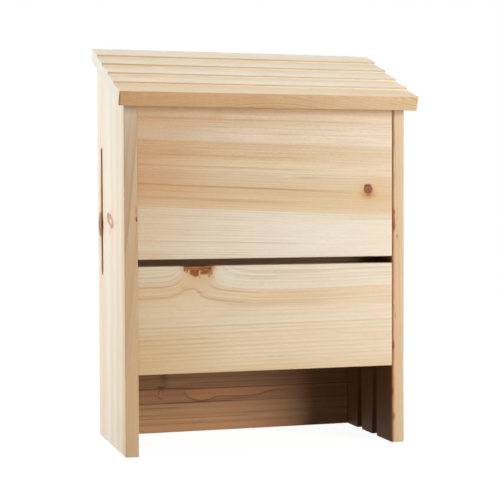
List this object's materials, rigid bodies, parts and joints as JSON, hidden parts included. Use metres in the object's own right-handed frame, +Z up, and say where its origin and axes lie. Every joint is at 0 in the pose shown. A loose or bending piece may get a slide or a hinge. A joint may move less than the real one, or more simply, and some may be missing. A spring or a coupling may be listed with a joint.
{
  "type": "bat box",
  "caption": "Wall-hung wooden bat box with roosting chambers open at the bottom, a vent slit across the front, air slots in the sides and a sloping roof milled like shingles.",
  "frame": {"origin": "middle of the footprint, on the surface that the side panels and the back panel stand on", "axes": "+Z up along the back panel, +Y out of its rear face towards the wall, +X to the right seen from the front"},
  "size_m": [0.3052, 0.16, 0.4069],
  "materials": {
    "fir_side": "planed fir, unfinished, grain upright, pale cream with reddish knots",
    "fir_front": "planed fir, unfinished, grain across, pale straw with orange bands and knots",
    "fir_roof": "milled fir, unfinished, grain across",
    "fir_back": "planed fir, unfinished, grain across, warmer and darker",
    "fir_inner": "sawn fir, unfinished, grain across",
    "pin_steel": "bright wire"
  },
  "bodies": {
    "root": {"roof_board": "fir_roof", "left_side_panel": "fir_side", "right_side_panel": "fir_side", "upper_front_panel": "fir_front", "lower_front_panel": "fir_front", "front_baffle": "fir_inner", "rear_baffle": "fir_inner", "back_panel": "fir_back", "pin_back_roof_left": "pin_steel", "pin_back_roof_middle": "pin_steel", "pin_back_roof_right": "pin_steel", "pin_left_back_1": "pin_steel", "pin_left_back_2": "pin_steel", "pin_left_back_3": "pin_steel", "pin_left_back_4": "pin_steel", "pin_left_front_baffle_1": "pin_steel", "pin_left_front_baffle_2": "pin_steel", "pin_left_lower_front_1": "pin_steel", "pin_left_lower_front_2": "pin_steel", "pin_left_rear_baffle_1": "pin_steel", "pin_left_rear_baffle_2": "pin_steel", "pin_left_roof_1": "pin_steel", "pin_left_roof_2": "pin_steel", "pin_left_roof_3": "pin_steel", "pin_left_roof_4": "pin_steel", "pin_left_upper_front_1": "pin_steel", "pin_left_upper_front_2": "pin_steel", "pin_left_upper_front_3": "pin_steel", "pin_right_back_1": "pin_steel", "pin_right_back_2": "pin_steel", "pin_right_back_3": "pin_steel", "pin_right_back_4": "pin_steel", "pin_right_front_baffle_1": "pin_steel", "pin_right_front_baffle_2": "pin_steel", "pin_right_lower_front_1": "pin_steel", "pin_right_lower_front_2": "pin_steel", "pin_right_rear_baffle_1": "pin_steel", "pin_right_rear_baffle_2": "pin_steel", "pin_right_roof_1": "pin_steel", "pin_right_roof_2": "pin_steel", "pin_right_roof_3": "pin_steel", "pin_right_roof_4": "pin_steel", "pin_right_upper_front_1": "pin_steel", "pin_right_upper_front_2": "pin_steel", "pin_right_upper_front_3": "pin_steel"}
  },
  "joints": []
}
